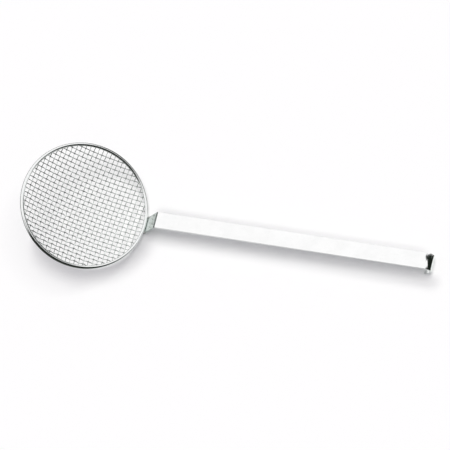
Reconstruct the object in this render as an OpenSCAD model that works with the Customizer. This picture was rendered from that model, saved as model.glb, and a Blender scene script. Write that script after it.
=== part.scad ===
// Wire skimmer: a shallow dish of woven wire in a rolled rim, on a bent flat bar with a hook.
// Millimetres, +Z up. It lies as it does on a table, on the foot of the bar and on its hook,
// with the origin under the middle of its outer box.

/* [Head] */
// Diameter of the head, over the rim
head_d = 160; // [130:1:190]
// Depth of the wire dish below the middle of the rim
dish_depth = 15.5; // [8:0.5:22]

/* [Rim] */
// Width of the rolled rim, measured along the radius
rim_w = 4.4; // [4:0.1:5.2]
// Height of the rolled rim
rim_h = 5.2; // [4.4:0.1:8]
// Thickness of the sheet that the rim is rolled from
rim_sheet = 0.7; // [0.5:0.05:0.9]

/* [Mesh] */
// Diameter of the mesh wires
wire_d = 1; // [0.8:0.05:1.1]
// Number of wires each way, an odd number
mesh_wires = 27; // [15:2:27]
// Angle between the warp wires and the line square to the handle
mesh_turn = -4; // [-45:1:45]

/* [Handle] */
// Width of the flat bar
bar_w = 20.5; // [14:0.5:26]
// Thickness of the flat bar
bar_t = 2; // [1.5:0.1:3]
// How far the foot reaches below the middle of the rim
foot_drop = 2.6; // [2:0.1:4]
// How far the foot stands straight above the middle of the rim
foot_rise = 3; // [2.5:0.1:6]
// Lean of the neck away from the head
neck_lean = 7; // [2:0.5:15]
// Height of the shoulder above the middle of the rim
neck_rise = 31; // [22:1:45]
// Angle between the grip and the plane of the rim
grip_angle = 28.4; // [15:0.1:40]
// Length of the grip, from the shoulder to the hook
grip_len = 335; // [220:1:400]
// Radius inside the bends of the neck
bend_r = 2; // [1.5:0.1:3]

/* [Hook] */
// Width of the gap in the hook
hook_gap = 14; // [10:0.5:20]
// Length of the straight tail after the hook's bend
hook_tail = 1; // [1:0.5:15]

/* [Fits] */
// Gap between two mesh wires where they cross
weave_gap = 0.1; // [0.08:0.01:0.15]
// Room on each side of the mesh in the rim's slot
slot_gap = 0.15; // [0.1:0.01:0.2]
// Gap between the foot and the rim that it is welded to
foot_gap = 0.05; // [0.02:0.01:0.1]
// Gap around a weld bead
bead_gap = 0.02; // [0.01:0.01:0.05]
// Radius of the two weld beads
bead_r = 1.4; // [1.1:0.1:1.8]

/* [Hidden] */
$fn = 72;
rim_facets = 60;
section_facets = 14;
head_r = head_d / 2;

// The rim's section is a stadium, as high as the rim and as wide as its two round ends
rim_end_r = rim_w / 2;
rim_mid_r = head_r - rim_end_r;
rim_straight = rim_h - rim_w;

// The dish is a spherical cap that meets the rim's middle, inside its roll, where the wires end
dish_r = (pow(rim_mid_r, 2) + pow(dish_depth, 2)) / (2 * dish_depth);
edge_slope = asin(rim_mid_r / dish_r);

// Wires stand on both sides of a middle one, and the last is one step short of the rim
wires_a_side = floor(mesh_wires / 2);
wire_steps = [-wires_a_side:wires_a_side];
mesh_pitch = (head_r - rim_w) / (wires_a_side + 1);

// A wire has four sides, and the area of the round wire that it stands for
wire_sides = 4;
wire_corner_r = wire_d / 2 * sqrt(2 * PI / (wire_sides * sin(360 / wire_sides)));
wire_half = wire_corner_r * cos(180 / wire_sides);

// The crimp lifts a wire by so much that its flat clears the crossing wire, corners included
crimp = (wire_half + weave_gap / 2) / (1 - 2 * wire_half / mesh_pitch);
mesh_half = crimp + wire_half;
shortest_step = 0.05;

// The bar's bends, and the lengths that they take from the straight runs
bend_out = bend_r + bar_t;
shoulder_turn = 90 - neck_lean - grip_angle;
lean_cut = bend_out * tan(neck_lean / 2);
shoulder_cut = bend_out * tan(shoulder_turn / 2);
hook_out = hook_gap / 2 + bar_t;
bar_start_x = head_r + foot_gap;
neck_len = (neck_rise - foot_rise) / cos(neck_lean);
shoulder = [bar_start_x + neck_len * sin(neck_lean), neck_rise];

// The middle of the hook's bend, as x and z beside the head
grip_end = shoulder + grip_len * [cos(grip_angle), sin(grip_angle)];
hook_mid = grip_end - hook_out * [-sin(grip_angle), cos(grip_angle)];

// The tilt that sets the corner of the foot and the round of the hook on one level
foot_corner = [bar_start_x + bar_t, -foot_drop];
reach = hook_mid - foot_corner;
lay_angle = atan2(reach[1], reach[0]) - asin(hook_out / norm(reach));
lay_height = foot_corner[0] * sin(lay_angle) - foot_corner[1] * cos(lay_angle);

// The ends of the tilted object, which put its middle over the origin
head_end = -rim_mid_r * cos(lay_angle) - rim_end_r - rim_straight / 2 * sin(lay_angle);
hook_end = hook_mid[0] * cos(lay_angle) + hook_mid[1] * sin(lay_angle) + hook_out;
lay_shift = -(head_end + hook_end) / 2;

// The grip's own slope on the table, and the middle of the hook, for whoever hangs it up
echo(grip_slope = grip_angle - lay_angle, lay_angle = lay_angle, lay_shift = lay_shift,
     lay_height = lay_height);
echo(hook_at = [hook_mid[0] * cos(lay_angle) + hook_mid[1] * sin(lay_angle) + lay_shift,
                hook_mid[1] * cos(lay_angle) - hook_mid[0] * sin(lay_angle) + lay_height]);

function two_digits(n) = str(n < 10 ? "0" : "", n);
function wire_name(kind, step) = str(kind, "_wire_", two_digits(step + wires_a_side + 1));

// Everything is drawn beside the head, with the rim level, and then laid on the table
module lay() {
    translate([lay_shift, 0, lay_height]) rotate([0, lay_angle, 0]) children();
}

// The stadium of the rim, grown by a margin on every side
module rim_outline(margin = 0) {
    r = rim_end_r + margin;
    for (side = [-1, 1])
        translate([rim_mid_r, side * rim_straight / 2]) circle(r = r, $fn = section_facets);
    translate([rim_mid_r - r, -rim_straight / 2]) square([2 * r, rim_straight]);
}

// The slot follows the mesh into the rim, a little wider than the woven pair of wires
module rim_slot() {
    half = mesh_half + slot_gap;
    translate([rim_mid_r, 0]) rotate(edge_slope)
        translate([-2 * rim_w, -half]) square([2 * rim_w, 2 * half]);
}

module rim_band() {
    color("gainsboro") rotate_extrude($fn = rim_facets) difference() {
        rim_outline();
        rim_outline(-rim_sheet);
        rim_slot();
    }
}

// Height of the dish at a radius, and its unit normal at a point of the plan
function dish_z(r) = dish_r - dish_depth - sqrt(pow(dish_r, 2) - pow(r, 2));
function dish_normal(p) = [-p[0], -p[1], sqrt(pow(dish_r, 2) - p * p)] / dish_r;

// A wave of straight runs, +1 at even steps and -1 at odd ones
function zigzag(x) = let (beyond = x - 2 * floor(x / 2)) 1 - 2 * min(beyond, 2 - beyond);

// How far a wire at an offset runs on each side, until a corner of its end is at the rim's middle
function wire_reach(offset) = sqrt(pow(rim_mid_r, 2) - pow(abs(offset) + wire_half, 2));

// Where a wire has its rings: its two ends, and each wire that it crosses
function ring_places(reach) = concat([-reach],
    [for (k = wire_steps) if (abs(k * mesh_pitch) < reach - shortest_step) k * mesh_pitch],
    [reach]);

// A ring of corners round a wire that lies along Y at x, lifted or sunk by its crimp
function wire_ring(x, y, lift) =
    let (p = [x, y],
         up = dish_normal(p),
         along = [0, up[2], -up[1]] / norm([0, up[2], -up[1]]),
         across = cross(along, up),
         middle = [x, y, dish_z(norm(p))] + lift * crimp * up)
    [for (i = [0:wire_sides - 1])
        let (a = 360 * (i + 0.5) / wire_sides)
        middle + wire_corner_r * (cos(a) * across + sin(a) * up)];

// One woven wire: step says which one it is, and side if it starts over or under
module woven_wire(step, side) {
    offset = step * mesh_pitch;
    places = ring_places(wire_reach(offset));
    rings = len(places);
    corners = [for (y = places) each wire_ring(offset, y, side * zigzag(step + y / mesh_pitch))];
    skin = [for (r = [0:rings - 2], i = [0:wire_sides - 1])
        let (a = r * wire_sides + i,
             b = r * wire_sides + (i + 1) % wire_sides)
        each [[a, b, b + wire_sides], [a, b + wire_sides, a + wire_sides]]];
    last = (rings - 1) * wire_sides;
    ends = [for (i = [1:wire_sides - 2])
        each [[0, i + 1, i], [last, last + i, last + i + 1]]];
    polyhedron(points = corners, faces = concat(skin, ends));
}

// Warp wires cross the head, weft wires run towards the handle and start on the other side
module warp_wire(step) {
    color("silver") rotate(mesh_turn) woven_wire(step, 1);
}

module weft_wire(step) {
    color("lightsteelblue") rotate(mesh_turn - 90) woven_wire(step, -1);
}

// The side view of a bent bar, from a face at a depth under its top to well inside its bends
// A run is its length, its turn at the end and the radius inside that bend
module bar_area(runs, depth, i = 0) {
    length = runs[i][0];
    turn = runs[i][1];
    bend = runs[i][2] + bar_t;
    translate([0, -hook_out - depth]) square([length, hook_out]);
    if (turn > 0)
        translate([length, -bend]) {
            circle(r = bend - depth);
            rotate(-turn) translate([0, bend]) bar_area(runs, depth, i + 1);
        }
    else if (depth > 0)
        translate([length, -hook_out]) square(hook_out);
}

module handle_bar() {
    runs = [[foot_drop + foot_rise - lean_cut, neck_lean, bend_r],
            [neck_len - lean_cut - shoulder_cut, shoulder_turn, bend_r],
            [grip_len - shoulder_cut, 180, hook_gap / 2],
            [hook_tail, 0, 0]];
    color("whitesmoke") translate([bar_start_x, 0, -foot_drop]) rotate([90, -90, 0])
        linear_extrude(height = bar_w, center = true) difference() {
            bar_area(runs, 0);
            bar_area(runs, bar_t);
        }
}

// A bead fills the corner between an edge of the foot and the rim, along the rim's height
module weld_bead(side) {
    bead_h = rim_h - rim_end_r;
    color("gray") difference() {
        translate([head_r + foot_gap, side * bar_w / 2, -bead_h / 2])
            cylinder(h = bead_h, r = bead_r, $fn = 24);
        translate([bar_start_x - bead_gap, -bar_w / 2 - bead_gap, -rim_h])
            cube([bar_w, bar_w + 2 * bead_gap, 2 * rim_h]);
        rotate_extrude($fn = 360) rim_outline(bead_gap);
    }
}

lay() rim_band();
lay() handle_bar();
lay() weld_bead(1);  // weld_bead_left
lay() weld_bead(-1);  // weld_bead_right
for (k = wire_steps) {
    lay() warp_wire(k);
    lay() weft_wire(k);
}
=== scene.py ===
"""The looks of the wire skimmer: round crimped wires, a rolled rim, a bent bar and welds, in steel.

Lengths are in metres. Every piece stands for one of the CAD solids that the frame holds. It is
drawn beside the head, with the rim level, and then laid on the table.
"""

from math import asin, atan2, cos, hypot, pi, radians, sin, sqrt, tan

import bpy
from mathutils import Matrix, Quaternion, Vector


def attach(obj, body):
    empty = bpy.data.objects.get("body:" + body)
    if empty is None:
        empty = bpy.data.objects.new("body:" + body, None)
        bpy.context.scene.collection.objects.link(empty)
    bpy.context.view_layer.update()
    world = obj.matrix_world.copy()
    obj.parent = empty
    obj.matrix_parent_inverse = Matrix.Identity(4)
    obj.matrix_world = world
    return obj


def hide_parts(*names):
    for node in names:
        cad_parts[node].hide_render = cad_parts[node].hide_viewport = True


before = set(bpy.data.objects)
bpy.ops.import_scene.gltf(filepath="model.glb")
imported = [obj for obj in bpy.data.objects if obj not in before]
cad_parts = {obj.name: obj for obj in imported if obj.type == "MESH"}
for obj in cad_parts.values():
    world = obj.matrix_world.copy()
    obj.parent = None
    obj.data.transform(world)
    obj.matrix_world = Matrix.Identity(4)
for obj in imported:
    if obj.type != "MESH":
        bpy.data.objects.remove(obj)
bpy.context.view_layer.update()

# Sizes of the object, as in the part's source
HEAD_R = 0.080
DISH_DEPTH = 0.0155
RIM_W = 0.0044
RIM_H = 0.0052
RIM_SHEET = 0.0007
WIRE_R = 0.0005
WIRES_A_SIDE = 13
MESH_TURN = radians(-4)
BAR_W = 0.0205
BAR_T = 0.002
FOOT_DROP = 0.0026
FOOT_RISE = 0.003
FOOT_GAP = 0.00005
NECK_LEAN = radians(7)
NECK_RISE = 0.031
GRIP_ANGLE = radians(28.4)
GRIP_LEN = 0.335
BEND_R = 0.002
HOOK_R = 0.007
HOOK_TAIL = 0.001
BEAD_R = 0.0014

# The rim, the dish and the mesh follow from them
RIM_END_R = RIM_W / 2
RIM_MID_R = HEAD_R - RIM_END_R
RIM_STRAIGHT = RIM_H - RIM_W
DISH_R = (RIM_MID_R**2 + DISH_DEPTH**2) / (2 * DISH_DEPTH)
EDGE_SLOPE = asin(RIM_MID_R / DISH_R)
PITCH = (HEAD_R - RIM_W) / (WIRES_A_SIDE + 1)

# The bar's corners beside the head, and how the object is laid on the table
BAR_START = HEAD_R + FOOT_GAP
NECK_LEN = (NECK_RISE - FOOT_RISE) / cos(NECK_LEAN)
SHOULDER_X = BAR_START + NECK_LEN * sin(NECK_LEAN)
HOOK_OUT = HOOK_R + BAR_T
HOOK_X = SHOULDER_X + GRIP_LEN * cos(GRIP_ANGLE) + HOOK_OUT * sin(GRIP_ANGLE)
HOOK_Z = NECK_RISE + GRIP_LEN * sin(GRIP_ANGLE) - HOOK_OUT * cos(GRIP_ANGLE)
CORNER_X = BAR_START + BAR_T
REACH_X = HOOK_X - CORNER_X
REACH_Z = HOOK_Z + FOOT_DROP
LAY = atan2(REACH_Z, REACH_X) - asin(HOOK_OUT / hypot(REACH_X, REACH_Z))
LAY_HEIGHT = CORNER_X * sin(LAY) + FOOT_DROP * cos(LAY)
HEAD_END = -RIM_MID_R * cos(LAY) - RIM_END_R - RIM_STRAIGHT / 2 * sin(LAY)
HOOK_END = HOOK_X * cos(LAY) + HOOK_Z * sin(LAY) + HOOK_OUT
LAY_SHIFT = -(HEAD_END + HOOK_END) / 2
LAID = Matrix.Translation((LAY_SHIFT, 0, LAY_HEIGHT)) @ Matrix.Rotation(LAY, 4, "Y")
HOOK_AT = LAID @ Vector((HOOK_X, 0, HOOK_Z))

# The photograph's view
CAMERA_TARGET = Vector((-0.0078, 0.0085, 0.020))
CAMERA_DISTANCE = 2.661
CAMERA_AZIMUTH = radians(41.53)
CAMERA_ELEVATION = radians(64.50)
CAMERA_ROLL = radians(-30.68)
CAMERA_LENS = 176
CAMERA_BACK = Vector((
    sin(CAMERA_AZIMUTH) * cos(CAMERA_ELEVATION),
    -cos(CAMERA_AZIMUTH) * cos(CAMERA_ELEVATION),
    sin(CAMERA_ELEVATION),
))
SIGHT = CAMERA_BACK / CAMERA_BACK.z

# The sockets of a node that mixes colours: its factor and the two colours, and its result
MIX_INPUTS = (0, 6, 7)
MIX_OUTPUT = 2

# What every steel shares: levels are those of a noise, tints and roughnesses are shares of its own
NOISE_ROUGHNESS = 0.6
STREAK_DETAIL = 4
STREAK_LEVELS = (0.3, 0.7)
STREAK_ROUGHNESS = (0.7, 1.2)
SCRATCH_TURN = 0.4
SCRATCH_FINER = (6, 1.5)
SCRATCH_DETAIL = 2
SCRATCH_LEVELS = (0.66, 0.74)
SCRATCH_ROUGHNESS = 0.5
SCRATCH_HEIGHT = -0.4
HAZE_SCALE = 55
HAZE_DETAIL = 3
HAZE_LEVELS = (0.35, 0.65)
HAZE_TINT = 0.965
HAZE_ROUGHNESS = 0.25
# The painted shade's tint, as a share of the dull tint
PAINTED_SHADE_TINT = 0.22
BUMP_DISTANCE = 0.0001


def node_tree(owner):
    """Empties the nodes of a material or world, and gives short ways to add one and to mix colours.

    A named value is one of the node's settings or goes to the input of that name, and the others
    go to its inputs in their order. A value is a number, a vector, a colour or another output.
    """
    owner.use_nodes = True
    tree = owner.node_tree
    tree.nodes.clear()

    def fill(socket, value):
        if isinstance(value, bpy.types.NodeSocket):
            tree.links.new(value, socket)
        elif socket.type == "RGBA":
            socket.default_value = (*value, 1)
        else:
            socket.default_value = value

    def add(kind, *inputs, **values):
        node = tree.nodes.new(kind)
        for name, value in values.items():
            if hasattr(node, name):
                setattr(node, name, value)
            else:
                fill(node.inputs[name.replace("_", " ")], value)
        for socket, value in zip(node.inputs, inputs):
            fill(socket, value)
        return node

    def mix(amount, first, second):
        node = add("ShaderNodeMix", data_type="RGBA")
        for place, value in zip(MIX_INPUTS, (amount, first, second)):
            fill(node.inputs[place], value)
        return node.outputs[MIX_OUTPUT]

    return add, mix


def steel(name, tint, dull_and_shaded_tint, roughness, dull_roughness, grain, relief):
    """Bare steel with a fine grain along the piece, sparse cross scratches and a soft haze.

    Its point attribute dulls it up to 1, as wear and painted shade, and up to 2 darkens it as
    painted shade.
    """
    material = bpy.data.materials.new(name)
    add, mix = node_tree(material)
    where = add("ShaderNodeTexCoord")
    wear_and_painted_shade = add("ShaderNodeAttribute", attribute_name="wear_and_painted_shade").outputs["Fac"]

    def noise(source, scale, detail, turn=0):
        place = add("ShaderNodeMapping", Vector=where.outputs[source],
                    Rotation=(0, 0, turn), Scale=scale)
        texture = add("ShaderNodeTexNoise", Vector=place.outputs["Vector"], Scale=1.0,
                      Detail=detail, Roughness=NOISE_ROUGHNESS)
        return texture.outputs["Fac"]

    def spread(value, low, high, to_low, to_high):
        return add("ShaderNodeMapRange", value, low, high, to_low, to_high).outputs["Result"]

    def sum_of(first, second):
        return add("ShaderNodeMath", first, second, operation="ADD").outputs[0]

    finer = (grain[0] * SCRATCH_FINER[0], grain[1] * SCRATCH_FINER[1], 1)
    streaks = noise("UV", (*grain, 1), STREAK_DETAIL)
    scratches = spread(noise("UV", finer, SCRATCH_DETAIL, SCRATCH_TURN), *SCRATCH_LEVELS, 0, 1)
    haze = noise("Object", (HAZE_SCALE, HAZE_SCALE, HAZE_SCALE), HAZE_DETAIL)

    hazy_tint = tuple(HAZE_TINT * c for c in tint)
    # Painted shade: the dull tint darkened, for the painted dark crowns of the weft and the bar's
    # fold
    painted_shade = tuple(PAINTED_SHADE_TINT * c for c in dull_and_shaded_tint)
    clean = mix(spread(haze, *HAZE_LEVELS, 0, 1), hazy_tint, tint)
    colour = mix(spread(wear_and_painted_shade, 1, 2, 0, 1), mix(wear_and_painted_shade, clean, dull_and_shaded_tint), painted_shade)

    streaky = spread(streaks, *STREAK_LEVELS, *(roughness * share for share in STREAK_ROUGHNESS))
    hazy = spread(haze, *HAZE_LEVELS, roughness * HAZE_ROUGHNESS, 0)
    scratched = spread(scratches, 0, 1, 0, roughness * SCRATCH_ROUGHNESS)
    dulled = spread(wear_and_painted_shade, 0, 1, 0, dull_roughness)
    rough = sum_of(sum_of(sum_of(streaky, hazy), scratched), dulled)

    height = sum_of(streaks, spread(scratches, 0, 1, 0, SCRATCH_HEIGHT))
    bump = add("ShaderNodeBump", Strength=relief, Distance=BUMP_DISTANCE, Height=height)
    shader = add("ShaderNodeBsdfPrincipled", Metallic=1.0, Base_Color=colour, Roughness=rough,
                 Normal=bump.outputs["Normal"])
    add("ShaderNodeOutputMaterial", shader.outputs["BSDF"])
    return material


def mesh_object(name, points, faces, material):
    mesh = bpy.data.meshes.new(name)
    mesh.from_pydata(points, [], faces)
    mesh.materials.append(material)
    thing = bpy.data.objects.new(name, mesh)
    bpy.context.scene.collection.objects.link(thing)
    return thing


def distances(points):
    """How far along a closed line each of its points lies, and the line's whole length."""
    far = [0.0]
    for point, after in zip(points, points[1:] + points[:1]):
        far.append(far[-1] + (after - point).length)
    return far


def skin(rings, wear_and_painted_shade, closed=False):
    """A skin over rings of equally many points: points, faces, places for the grain, and wear and
    painted shade.
    """
    count = len(rings[0])
    points = [point for ring in rings for point in ring]
    along = distances([ring[0] for ring in rings])
    around = distances(max(rings, key=lambda ring: (ring[0] - ring[count // 2]).length))
    faces, places = [], []
    for r in range(len(rings) if closed else len(rings) - 1):
        a = r * count
        b = (r + 1) % len(rings) * count
        for i in range(count):
            j = (i + 1) % count
            faces.append((a + i, a + j, b + j, b + i))
            places += [(along[r], around[i]), (along[r], around[i + 1]),
                       (along[r + 1], around[i + 1]), (along[r + 1], around[i])]
    if not closed:
        last = (len(rings) - 1) * count
        caps = ((range(count - 1, -1, -1), 0), (range(last, last + count), along[len(rings) - 1]))
        for cap, at in caps:
            faces.append(tuple(cap))
            places += [(at, around[k % count]) for k in cap]
    return points, faces, places, wear_and_painted_shade


def piece(name, shape, material, node):
    """A smooth mesh, laid on the table and riding on root, that stands for one CAD node."""
    points, faces, places, wear_and_painted_shade = shape
    thing = mesh_object(name, [LAID @ Vector(p) for p in points], faces, material)
    layer = thing.data.uv_layers.new(name="along")
    layer.data.foreach_set("uv", [c for place in places for c in place])
    wear_and_shade = thing.data.attributes.new("wear_and_painted_shade", "FLOAT", "POINT")
    wear_and_shade.data.foreach_set("value", wear_and_painted_shade)
    thing.data.shade_smooth()
    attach(thing, "root")
    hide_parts(node)
    return thing


def arc(middle, radius, start, end, steps):
    """Points of an arc in a plane, from one angle to another."""
    angles = [start + (end - start) * i / steps for i in range(steps + 1)]
    return [(middle[0] + radius * cos(a), middle[1] + radius * sin(a)) for a in angles]


# The mesh: a wire's crimp is a little over its radius, so that crossing wires stay apart
WIRE_SIDES = 12
RINGS_A_PITCH = 8
CRIMP = WIRE_R * 1.02
END_ROUND = WIRE_R * 0.3
END_NARROW = 0.75

# Dulling and painted contact shade of a wire where it lies on another one, and painted shade on the
# crowns of the weft, which stands for a dark reflection: the part of the lift over which it sets
# in, and how dark it is far from the handle and near it
CONTACT = 0.35
PAINTED_CROWN_FROM, PAINTED_CROWN_TO = 0.1, 0.6
PAINTED_CROWN_FAR, PAINTED_CROWN_NEAR = 2.6, 0.9


def dish_point(x, y):
    """A point of the dish and its normal, towards the food's side."""
    deep = sqrt(DISH_R**2 - x * x - y * y)
    return Vector((x, y, DISH_R - DISH_DEPTH - deep)), Vector((-x, -y, deep)) / DISH_R


def wire_rings(step, side, painted_crown_shade):
    """Rings, wear and painted shade of the wire along Y at a step of the mesh, over and under what
    it crosses.
    """
    offset = step * PITCH
    half = sqrt(RIM_MID_R**2 - (abs(offset) + WIRE_R) ** 2)
    count = int(2 * half / PITCH * RINGS_A_PITCH)
    angles = [2 * pi * (k + 0.5) / WIRE_SIDES for k in range(WIRE_SIDES)]
    places = [-half + 2 * half * i / count for i in range(count + 1)]
    lifts = [side * cos(pi * (step + y / PITCH)) for y in places]
    spots = [dish_point(offset, y) for y in places]
    middles = [spot + up * lift * CRIMP for (spot, up), lift in zip(spots, lifts)]
    rings, wear_and_painted_shade = [], []
    for i, (y, lift) in enumerate(zip(places, lifts)):
        along = (middles[min(i + 1, count)] - middles[max(i - 1, 0)]).normalized()
        across = along.cross(spots[i][1]).normalized()
        up = across.cross(along)
        rings.append([middles[i] + WIRE_R * (cos(a) * across + sin(a) * up) for a in angles])
        # Painted shade on the crowns, darker far from the handle, and painted contact shade where
        # wires lie on each other
        crown = min(1.0, max(0.0, (lift - PAINTED_CROWN_FROM) / (PAINTED_CROWN_TO - PAINTED_CROWN_FROM)))
        nearness = (y / HEAD_R + 1) / 2
        dark = crown * (PAINTED_CROWN_FAR + (PAINTED_CROWN_NEAR - PAINTED_CROWN_FAR) * nearness) if painted_crown_shade else 0.0
        wear_and_painted_shade.append([max(dark, CONTACT * max(0.0, -lift * sin(a))) for a in angles])
    for end, inward in ((0, 1), (-1, -1)):
        tip = middles[end]
        back = (middles[end + inward] - tip).normalized() * END_ROUND
        rings[end] = [tip + (p - tip) * END_NARROW for p in rings[end]]
        beside = 1 if end == 0 else len(rings) - 1
        rings.insert(beside, [tip + back + (p - tip) / END_NARROW for p in rings[end]])
        wear_and_painted_shade.insert(beside, wear_and_painted_shade[end])
    return rings, wear_and_painted_shade


def wire(kind, step, side, turn, material, painted_crown_shade, casts):
    """One round wire of the mesh, with painted shade on its crowns or without, which casts a shadow
    or doesn't.
    """
    spin = Matrix.Rotation(turn, 4, "Z")
    rings, wear_and_painted_shade = wire_rings(step, side, painted_crown_shade)
    shape = skin([[spin @ p for p in ring] for ring in rings], [w for ring in wear_and_painted_shade for w in ring])
    number = f"{step + WIRES_A_SIDE + 1:02d}"
    thing = piece(f"{kind}_{number}", shape, material, f"{kind}_wire_{number}")
    thing.visible_shadow = thing.visible_diffuse = casts


# The rim, with the room between its lips and the mesh, the wear of its lips and the painted shade
# inside the roll
RIM_STEPS = 240
ROLL_STEPS = 18
LIP_STEPS = 6
LIP_CLEAR = 0.00022
LIP_WEAR = 0.3
INSIDE_SHADE = 1.0


def rim_section():
    """The rolled sheet as radius, height and wear, with painted shade inside: over the roll, round
    a lip and back inside.
    """
    lip_r = RIM_SHEET / 2
    lip_at = RIM_END_R - lip_r
    opening = asin((2 * WIRE_R + LIP_CLEAR + lip_r - RIM_STRAIGHT / 2) / lip_at)
    low = pi + EDGE_SLOPE + opening
    high = pi + EDGE_SLOPE - opening
    below = (RIM_MID_R, -RIM_STRAIGHT / 2)
    above = (RIM_MID_R, RIM_STRAIGHT / 2)

    def roll(r):
        return arc(below, r, low, 2 * pi, ROLL_STEPS) + arc(above, r, 0, high, ROLL_STEPS)

    def lip(middle, angle, sense):
        tip = (middle[0] + lip_at * cos(angle), middle[1] + lip_at * sin(angle))
        return arc(tip, lip_r, angle, angle + sense * pi, LIP_STEPS)[1:-1]

    runs = (
        (roll(RIM_END_R), 0.0),
        (lip(above, high, 1), LIP_WEAR),
        (roll(RIM_END_R - RIM_SHEET)[::-1], INSIDE_SHADE),
        (lip(below, low, -1)[::-1], LIP_WEAR),
    )
    return [(r, z, wear_and_shade) for run, wear_and_shade in runs for r, z in run]


def rim_band(material):
    section = rim_section()
    rings = []
    for k in range(RIM_STEPS):
        a = 2 * pi * k / RIM_STEPS
        rings.append([Vector((r * cos(a), r * sin(a), z)) for r, z, wear_and_shade in section])
    wear_and_painted_shade = [wear_and_shade for r, z, wear_and_shade in section] * RIM_STEPS
    piece("rim", skin(rings, wear_and_painted_shade, closed=True), material, "rim_band")


# The bar: rows of points at HOLD from the ends of a flat keep its smooth shading flat
CORNERS = ((1, 1), (-1, 1), (-1, -1), (1, -1))
EDGE_ROUND = 0.00025
EDGE_STEPS = 4
EDGE_WEAR = 0.25
TIP_INSET = 0.98
HOLD = 0.0004
LEAN_STEPS = 6
SHOULDER_STEPS = 20
HOOK_STEPS = 56

# Wear and painted shade by heading: the hook and the grip are clean, the shoulder's fold is painted
# dark for a dark reflection, and the neck is dull, with a darker tint that is partly painted shade
BEND_SHADE_AND_WEAR = tuple(
    (radians(heading), wear_and_shade)
    for heading, wear_and_shade in ((-180, 0), (38, 0), (46, 2), (70, 2), (78, 1), (91, 1))
)


def bar_path():
    """Places along the middle of the bar, each with its heading, from the foot to the tail."""
    shoulder_turn = pi / 2 - NECK_LEAN - GRIP_ANGLE
    bend_out = BEND_R + BAR_T
    lean_cut = bend_out * tan(NECK_LEAN / 2)
    shoulder_cut = bend_out * tan(shoulder_turn / 2)
    runs = (
        (FOOT_DROP + FOOT_RISE - lean_cut, NECK_LEAN, BEND_R, LEAN_STEPS),
        (NECK_LEN - lean_cut - shoulder_cut, shoulder_turn, BEND_R, SHOULDER_STEPS),
        (GRIP_LEN - shoulder_cut, pi, HOOK_R, HOOK_STEPS),
        (HOOK_TAIL, 0, 0, 0),
    )
    heading = pi / 2
    x = BAR_START + BAR_T / 2
    z = -FOOT_DROP
    path = [(x, z, heading)]
    for length, turn, inside, steps in runs:
        for part in (HOLD, length - 2 * HOLD, HOLD):
            x += part * cos(heading)
            z += part * sin(heading)
            path.append((x, z, heading))
        r = inside + BAR_T / 2
        mid_x = x + r * sin(heading)
        mid_z = z - r * cos(heading)
        for k in range(steps):
            heading -= turn / steps
            x = mid_x - r * sin(heading)
            z = mid_z + r * cos(heading)
            path.append((x, z, heading))
    return path


def bar_ring(place, shift, inset):
    """The bar's section with rounded edges, shifted along its path from a place and drawn in."""
    x, z, heading = place
    middle = Vector((x + shift * cos(heading), 0, z + shift * sin(heading)))
    side = Vector((0, 1, 0))
    up = Vector((-sin(heading), 0, cos(heading)))
    half_w = BAR_W / 2 - EDGE_ROUND
    half_t = BAR_T / 2 - EDGE_ROUND
    ring = []
    for k, (w, t) in enumerate(CORNERS):
        a = k * pi / 2
        bend = arc((w * half_w, t * half_t), EDGE_ROUND - inset, a, a + pi / 2, EDGE_STEPS)
        before = (bend[0][0] + HOLD * sin(a), bend[0][1] - HOLD * cos(a))
        after = (bend[-1][0] - HOLD * cos(a), bend[-1][1] - HOLD * sin(a))
        ring += [middle + px * side + pz * up for px, pz in (before, *bend, after)]
    return ring


def bar_tip(place, inward):
    """Rings that round off an end of the bar, from the outermost one."""
    rings = []
    for k in range(EDGE_STEPS):
        a = pi / 2 * k / EDGE_STEPS
        shift = EDGE_ROUND * (1 - cos(a)) * inward
        rings.append(bar_ring(place, shift, EDGE_ROUND * (1 - sin(a)) * TIP_INSET))
    return rings


def bend_shade_and_wear(heading):
    """Wear and painted shade of the bar at a heading, between the two entries that it lies between.
    """
    for (low, first), (high, last) in zip(BEND_SHADE_AND_WEAR, BEND_SHADE_AND_WEAR[1:]):
        if heading <= high:
            return first + (last - first) * (heading - low) / (high - low)


def handle_bar(material):
    path = bar_path()
    first, last = path[0], path[-1]
    body = [bar_ring(first, EDGE_ROUND, 0)]
    body += [bar_ring(place, 0, 0) for place in path[1:-1]]
    body += [bar_ring(last, -EDGE_ROUND, 0)]
    rings = bar_tip(first, 1) + body + bar_tip(last, -1)[::-1]
    places = EDGE_STEPS * [first] + path + EDGE_STEPS * [last]
    corner = [0.0, 0.0, *[EDGE_WEAR] * (EDGE_STEPS - 1), 0.0, 0.0]
    edges = len(CORNERS) * corner
    wear_and_painted_shade = [max(edge, bend_shade_and_wear(heading)) for x, z, heading in places for edge in edges]
    piece("bar", skin(rings, wear_and_painted_shade), material, "handle_bar")


# The welds: a bead's middle lies inside the rim and inside the bar's edge
BEAD_RIPPLES = 5
BEAD_STEPS = 40
BEAD_SIDES = 24
BEAD_TIP_R = END_ROUND / 8
BEAD_IN_RIM = 0.0003
BEAD_IN_BAR = 0.0001
RIPPLE_DEPTH = 0.05


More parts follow.
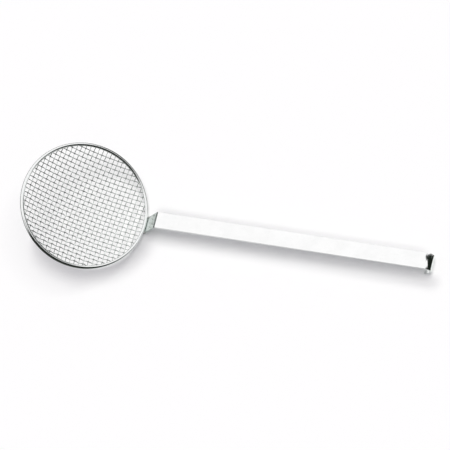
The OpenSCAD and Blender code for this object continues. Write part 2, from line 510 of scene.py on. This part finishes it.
def weld_bead(name, side, material):
    """A rippled bead in the corner between the foot's edge and the rim."""
    half = (RIM_H - RIM_END_R) / 2
    angles = [2 * pi * i / BEAD_SIDES for i in range(BEAD_SIDES)]
    rings, wear_and_painted_shade = [], []
    for k in range(BEAD_STEPS + 1):
        t = -1 + 2 * k / BEAD_STEPS
        ripple = cos(2 * pi * BEAD_RIPPLES * t)
        swell = 1 - RIPPLE_DEPTH + RIPPLE_DEPTH * ripple
        r = BEAD_R * sqrt(max(0.0, 1 - t**4)) * swell + BEAD_TIP_R
        middle = Vector((HEAD_R - BEAD_IN_RIM, side * (BAR_W / 2 - BEAD_IN_BAR), t * half))
        rings.append([middle + Vector((r * cos(a), r * sin(a), 0)) for a in angles])
        wear_and_painted_shade += [(1 - ripple) / 2] * BEAD_SIDES
    piece(name, skin(rings, wear_and_painted_shade), material, f"weld_{name}")


# The lamp: the direction that its light comes from, and how wide it is in the sky
KEY_FROM = Vector((0.192, 0.138, 0.972))
KEY_STRENGTH = 2.15
KEY_COLOUR = (1.0, 1.0, 0.97)
KEY_SPREAD = radians(46)

# The floor: the camera sees it a little brighter than it is painted, and the steel sees a long
# lit patch round the object and a dark floor beyond
WHITE = (1, 1, 1)
FLOOR_REACH = 6.0
FLOOR_Z = -0.0002
FLOOR_COLOUR = (0.90, 0.90, 0.90)
FLOOR_LIFT = 0.10
FLOOR_IN_METAL = (0.86, 0.89, 0.87)
FAR_IN_METAL = (0.05, 0.055, 0.05)
LIT_MIDDLE_X = 0.03
LIT_LENGTHWISE = 0.4
LIT_REACH = (0.115, 0.15)

# The studio's even light, and its dark sides in the steel: azimuth from +X and angle from straight
# up of their middles, the angles from there at which they are fully dark and gone, and their shade
FILL = (0.335, 0.325, 0.355)
DARK_SIDES = (
    (293, 90, 74, 78, (0.02, 0.024, 0.02)),
    (355, 38, 14, 19, (0.02, 0.024, 0.02)),
    (250, 28, 14, 20, (0.02, 0.024, 0.02)),
    (48, 78, 20, 27, (0.03, 0.034, 0.03)),
)

# The card by the hook: its distance from the hook, how far a mirrored ray runs aside on each metre,
# and its columns as place across, angle of the top from straight up, and end of the skirt
CARD_SHADE = (0.012, 0.016, 0.012)
CARD_AWAY = 0.16
CARD_ASIDE = 0.30
CARD_STEPS = 24
CARD_BULGE = 0.0042
CARD_BULGE_POWER = 2.5
CARD_COLUMNS = (
    (0.0200, 20, 0.036),
    (0.0416, 20, 0.036),
    (0.0424, 50, 0.036),
    (0.0485, 39, 0.034),
    (0.0530, 4, 0.029),
    (0.0565, -6, 0.024),
    (0.0598, -8, 0.0225),
)
SKIRT_Z = 0.0005
HORIZON = 90

# The nets: what they let pass, and the head's one from an angle to another round the head, with the
# part over which it tapers, its lowest and highest height, and its width
NET_PASSES = (0.3, 0.3, 0.3)
NET_STEPS = 60
HEAD_NET_FROM, HEAD_NET_TO = 222, 366
HEAD_NET_TAPER = 0.15
HEAD_NET_LOW, HEAD_NET_HIGH = 0.006, 0.033
HEAD_NET_WIDTH = 0.015

# The grip's nets: side of the bar, height, distance outward, width at the shoulder and at the hook,
# and their end as a part of the grip
GRIP_NETS = (
    ("far_net", 1, 0.020, -0.002, 0.0058, 0.0036, 1.0),
    ("near_net", -1, 0.022, 0.0155, 0.0, 0.0085, 1.06),
)


def floor():
    """A white floor, with one colour for the camera and the light and another for the steel."""
    material = bpy.data.materials.new("floor")
    add, mix = node_tree(material)
    ray = add("ShaderNodeLightPath")
    paint = add("ShaderNodeBsdfDiffuse", Color=FLOOR_COLOUR)
    place = add("ShaderNodeVectorMath", add("ShaderNodeTexCoord").outputs["Object"],
                (LIT_LENGTHWISE, 1, 0), (-LIT_LENGTHWISE * LIT_MIDDLE_X, 0, 0),
                operation="MULTIPLY_ADD")
    away = add("ShaderNodeVectorMath", place.outputs[0], operation="LENGTH")
    far = add("ShaderNodeMapRange", away.outputs["Value"], *LIT_REACH,
              interpolation_type="SMOOTHSTEP")
    fade = mix(far.outputs["Result"], FLOOR_IN_METAL, FAR_IN_METAL)
    mirrored = add("ShaderNodeBsdfDiffuse", Color=fade)
    either = add("ShaderNodeMixShader", ray.outputs["Is Glossy Ray"], paint.outputs[0],
                 mirrored.outputs[0])
    lift = add("ShaderNodeMath", ray.outputs["Is Camera Ray"], FLOOR_LIFT, operation="MULTIPLY")
    glow = add("ShaderNodeEmission", Color=WHITE, Strength=lift.outputs[0])
    both = add("ShaderNodeAddShader", either.outputs[0], glow.outputs[0])
    add("ShaderNodeOutputMaterial", both.outputs[0])
    r = FLOOR_REACH
    corners = [(-r, -r, 0), (r, -r, 0), (r, r, 0), (-r, r, 0)]
    thing = mesh_object("floor", corners, [(0, 1, 2, 3)], material)
    thing.location.z = FLOOR_Z


def studio():
    """A white studio with its dark sides, as the steel shows it, and a dimmer light on the rest."""
    world = bpy.data.worlds.new("studio")
    bpy.context.scene.world = world
    add, mix = node_tree(world)
    where = add("ShaderNodeTexCoord").outputs["Generated"]
    ray = add("ShaderNodeLightPath")
    shown = WHITE
    for azimuth, zenith, inside, outside, shade in DARK_SIDES:
        a, z = radians(azimuth), radians(zenith)
        toward = (sin(z) * cos(a), sin(z) * sin(a), cos(z))
        dot = add("ShaderNodeVectorMath", where, toward, operation="DOT_PRODUCT")
        edge = add("ShaderNodeMapRange", dot.outputs["Value"], cos(radians(outside)),
                   cos(radians(inside)), interpolation_type="SMOOTHSTEP")
        shown = mix(edge.outputs["Result"], shown, shade)
    lit = mix(ray.outputs["Is Glossy Ray"], FILL, shown)
    seen = mix(ray.outputs["Is Camera Ray"], lit, WHITE)
    sky = add("ShaderNodeBackground", Color=seen, Strength=1.0)
    add("ShaderNodeOutputWorld", sky.outputs[0])


def helper(name, points, faces, material):
    """A stage mesh that neither the camera nor soft light sees."""
    thing = mesh_object(name, points, faces, material)
    thing.visible_camera = thing.visible_diffuse = False
    thing.visible_transmission = thing.visible_volume_scatter = False
    return thing


def dark_card():
    """A dark card beyond the hook, with a skirt over the floor, which only the steel shows."""
    material = bpy.data.materials.new("card")
    add, _ = node_tree(material)
    black = add("ShaderNodeEmission", Color=CARD_SHADE)
    add("ShaderNodeOutputMaterial", black.outputs[0])
    count = len(CARD_COLUMNS)
    points = []
    for k in range(CARD_STEPS + 1):
        bulge = CARD_BULGE * sin(pi * (k / CARD_STEPS) ** CARD_BULGE_POWER)
        for i, (y, top, near) in enumerate(CARD_COLUMNS):
            a = radians(top + (HORIZON - top) * k / CARD_STEPS)
            across = y + bulge if i == count - 1 else y
            points.append(HOOK_AT + Vector((CARD_AWAY * sin(a), across, CARD_AWAY * cos(a))))
    for y, top, near in CARD_COLUMNS:
        across = y - CARD_ASIDE * (CARD_AWAY - near)
        points.append(Vector((HOOK_AT.x + near, across, SKIRT_Z)))
    faces = [(count * k + i, count * k + i + 1, count * (k + 1) + i + 1, count * (k + 1) + i)
             for k in range(CARD_STEPS + 1) for i in range(count - 1)]
    helper("card", points, faces, material).visible_shadow = False


def net(name, pairs):
    """A band of net through pairs of points, which only deepens the lamp's shadow on the floor."""
    material = bpy.data.materials.new(name)
    add, _ = node_tree(material)
    veil = add("ShaderNodeBsdfTransparent", Color=NET_PASSES)
    add("ShaderNodeOutputMaterial", veil.outputs[0])
    points = [point for pair in pairs for point in pair]
    faces = [(2 * k, 2 * k + 1, 2 * k + 3, 2 * k + 2) for k in range(len(pairs) - 1)]
    helper(name, points, faces, material).visible_glossy = False


def on_floor(x, y, z):
    """Where the camera sees a point of the object, given beside the head, on the floor."""
    point = LAID @ Vector((x, y, z))
    return point - point.z * SIGHT


def nets():
    """Nets for the soft shadows on the head's near side and along both edges of the grip."""
    light = KEY_FROM / KEY_FROM.z
    middle = on_floor(0, 0, 0)
    pairs = []
    for k in range(NET_STEPS + 1):
        t = k / NET_STEPS
        a = radians(HEAD_NET_FROM + (HEAD_NET_TO - HEAD_NET_FROM) * t)
        seen = on_floor(HEAD_R * cos(a), HEAD_R * sin(a), 0)
        outward = (seen - middle).normalized()
        full = min(1, t / HEAD_NET_TAPER, (1 - t) / HEAD_NET_TAPER)
        high = HEAD_NET_LOW + full * (HEAD_NET_HIGH - HEAD_NET_LOW)
        pairs.append((seen + HEAD_NET_LOW * light,
                      seen + full * (HEAD_NET_WIDTH * outward) + high * light))
    net("head_net", pairs)
    for name, side, height, outward, first, last, end in GRIP_NETS:
        pairs = []
        for k in range(NET_STEPS + 1):
            t = end * k / NET_STEPS
            seen = on_floor(SHOULDER_X + t * GRIP_LEN * cos(GRIP_ANGLE), side * BAR_W / 2,
                            NECK_RISE + t * GRIP_LEN * sin(GRIP_ANGLE))
            place = seen + height * light + Vector((0, side * outward, 0))
            half = Vector((0, (first + (last - first) * t) / 2, 0))
            pairs.append((place - half, place + half))
        net(name, pairs)


def lamp():
    light = bpy.data.lights.new("key", "SUN")
    light.energy = KEY_STRENGTH
    light.color = KEY_COLOUR
    light.angle = KEY_SPREAD
    thing = bpy.data.objects.new("key", light)
    thing.rotation_euler = KEY_FROM.to_track_quat("Z", "Y").to_euler()
    thing.visible_glossy = False
    bpy.context.scene.collection.objects.link(thing)


def camera():
    data = bpy.data.cameras.new("camera")
    data.lens = CAMERA_LENS
    thing = bpy.data.objects.new("camera", data)
    thing.location = CAMERA_TARGET + CAMERA_DISTANCE * CAMERA_BACK
    turn = CAMERA_BACK.to_track_quat("Z", "Y") @ Quaternion((0, 0, 1), CAMERA_ROLL)
    thing.rotation_euler = turn.to_euler()
    bpy.context.scene.collection.objects.link(thing)
    bpy.context.scene.camera = thing


bright = steel("warp_wire", tint=(0.91, 0.945, 0.92), dull_and_shaded_tint=(0.65, 0.68, 0.66),
               roughness=0.12, dull_roughness=0.35, grain=(60, 8000), relief=0.08)
drawn = steel("weft_wire", tint=(0.94, 0.965, 0.945), dull_and_shaded_tint=(0.58, 0.62, 0.59),
              roughness=0.08, dull_roughness=0.35, grain=(60, 8000), relief=0.08)
# The rolled sheet's dark dull tint is painted shade inside the roll; the lips take a little of it
# as wear
rolled = steel("rolled_sheet", tint=(0.92, 0.93, 0.93), dull_and_shaded_tint=(0.30, 0.31, 0.30),
               roughness=0.07, dull_roughness=0.35, grain=(25, 5000), relief=0.05)
# The bar's dull tint makes the neck darker, partly as painted shade, and darkened further it is the
# fold's painted reflection
polished = steel("polished_bar", tint=(0.99, 0.99, 0.99), dull_and_shaded_tint=(0.67, 0.72, 0.695),
                 roughness=0.05, dull_roughness=0.12, grain=(30, 6000), relief=0.04)
welded = steel("weld_metal", tint=(0.80, 0.79, 0.78), dull_and_shaded_tint=(0.52, 0.50, 0.47),
               roughness=0.20, dull_roughness=0.2, grain=(300, 3000), relief=0.2)

# The weft wires get painted shade on their crowns, which stands for a dark reflection; the warp
# wires don't
for step in range(-WIRES_A_SIDE, WIRES_A_SIDE + 1):
    wire("warp", step, 1, MESH_TURN, bright, painted_crown_shade=False, casts=step % 2 == 1)
    wire("weft", step, -1, MESH_TURN - pi / 2, drawn, painted_crown_shade=True, casts=False)
rim_band(rolled)
handle_bar(polished)
weld_bead("bead_left", 1, welded)
weld_bead("bead_right", -1, welded)

floor()
studio()
dark_card()
nets()
lamp()
camera()
bpy.context.scene.view_settings.view_transform = "Standard"
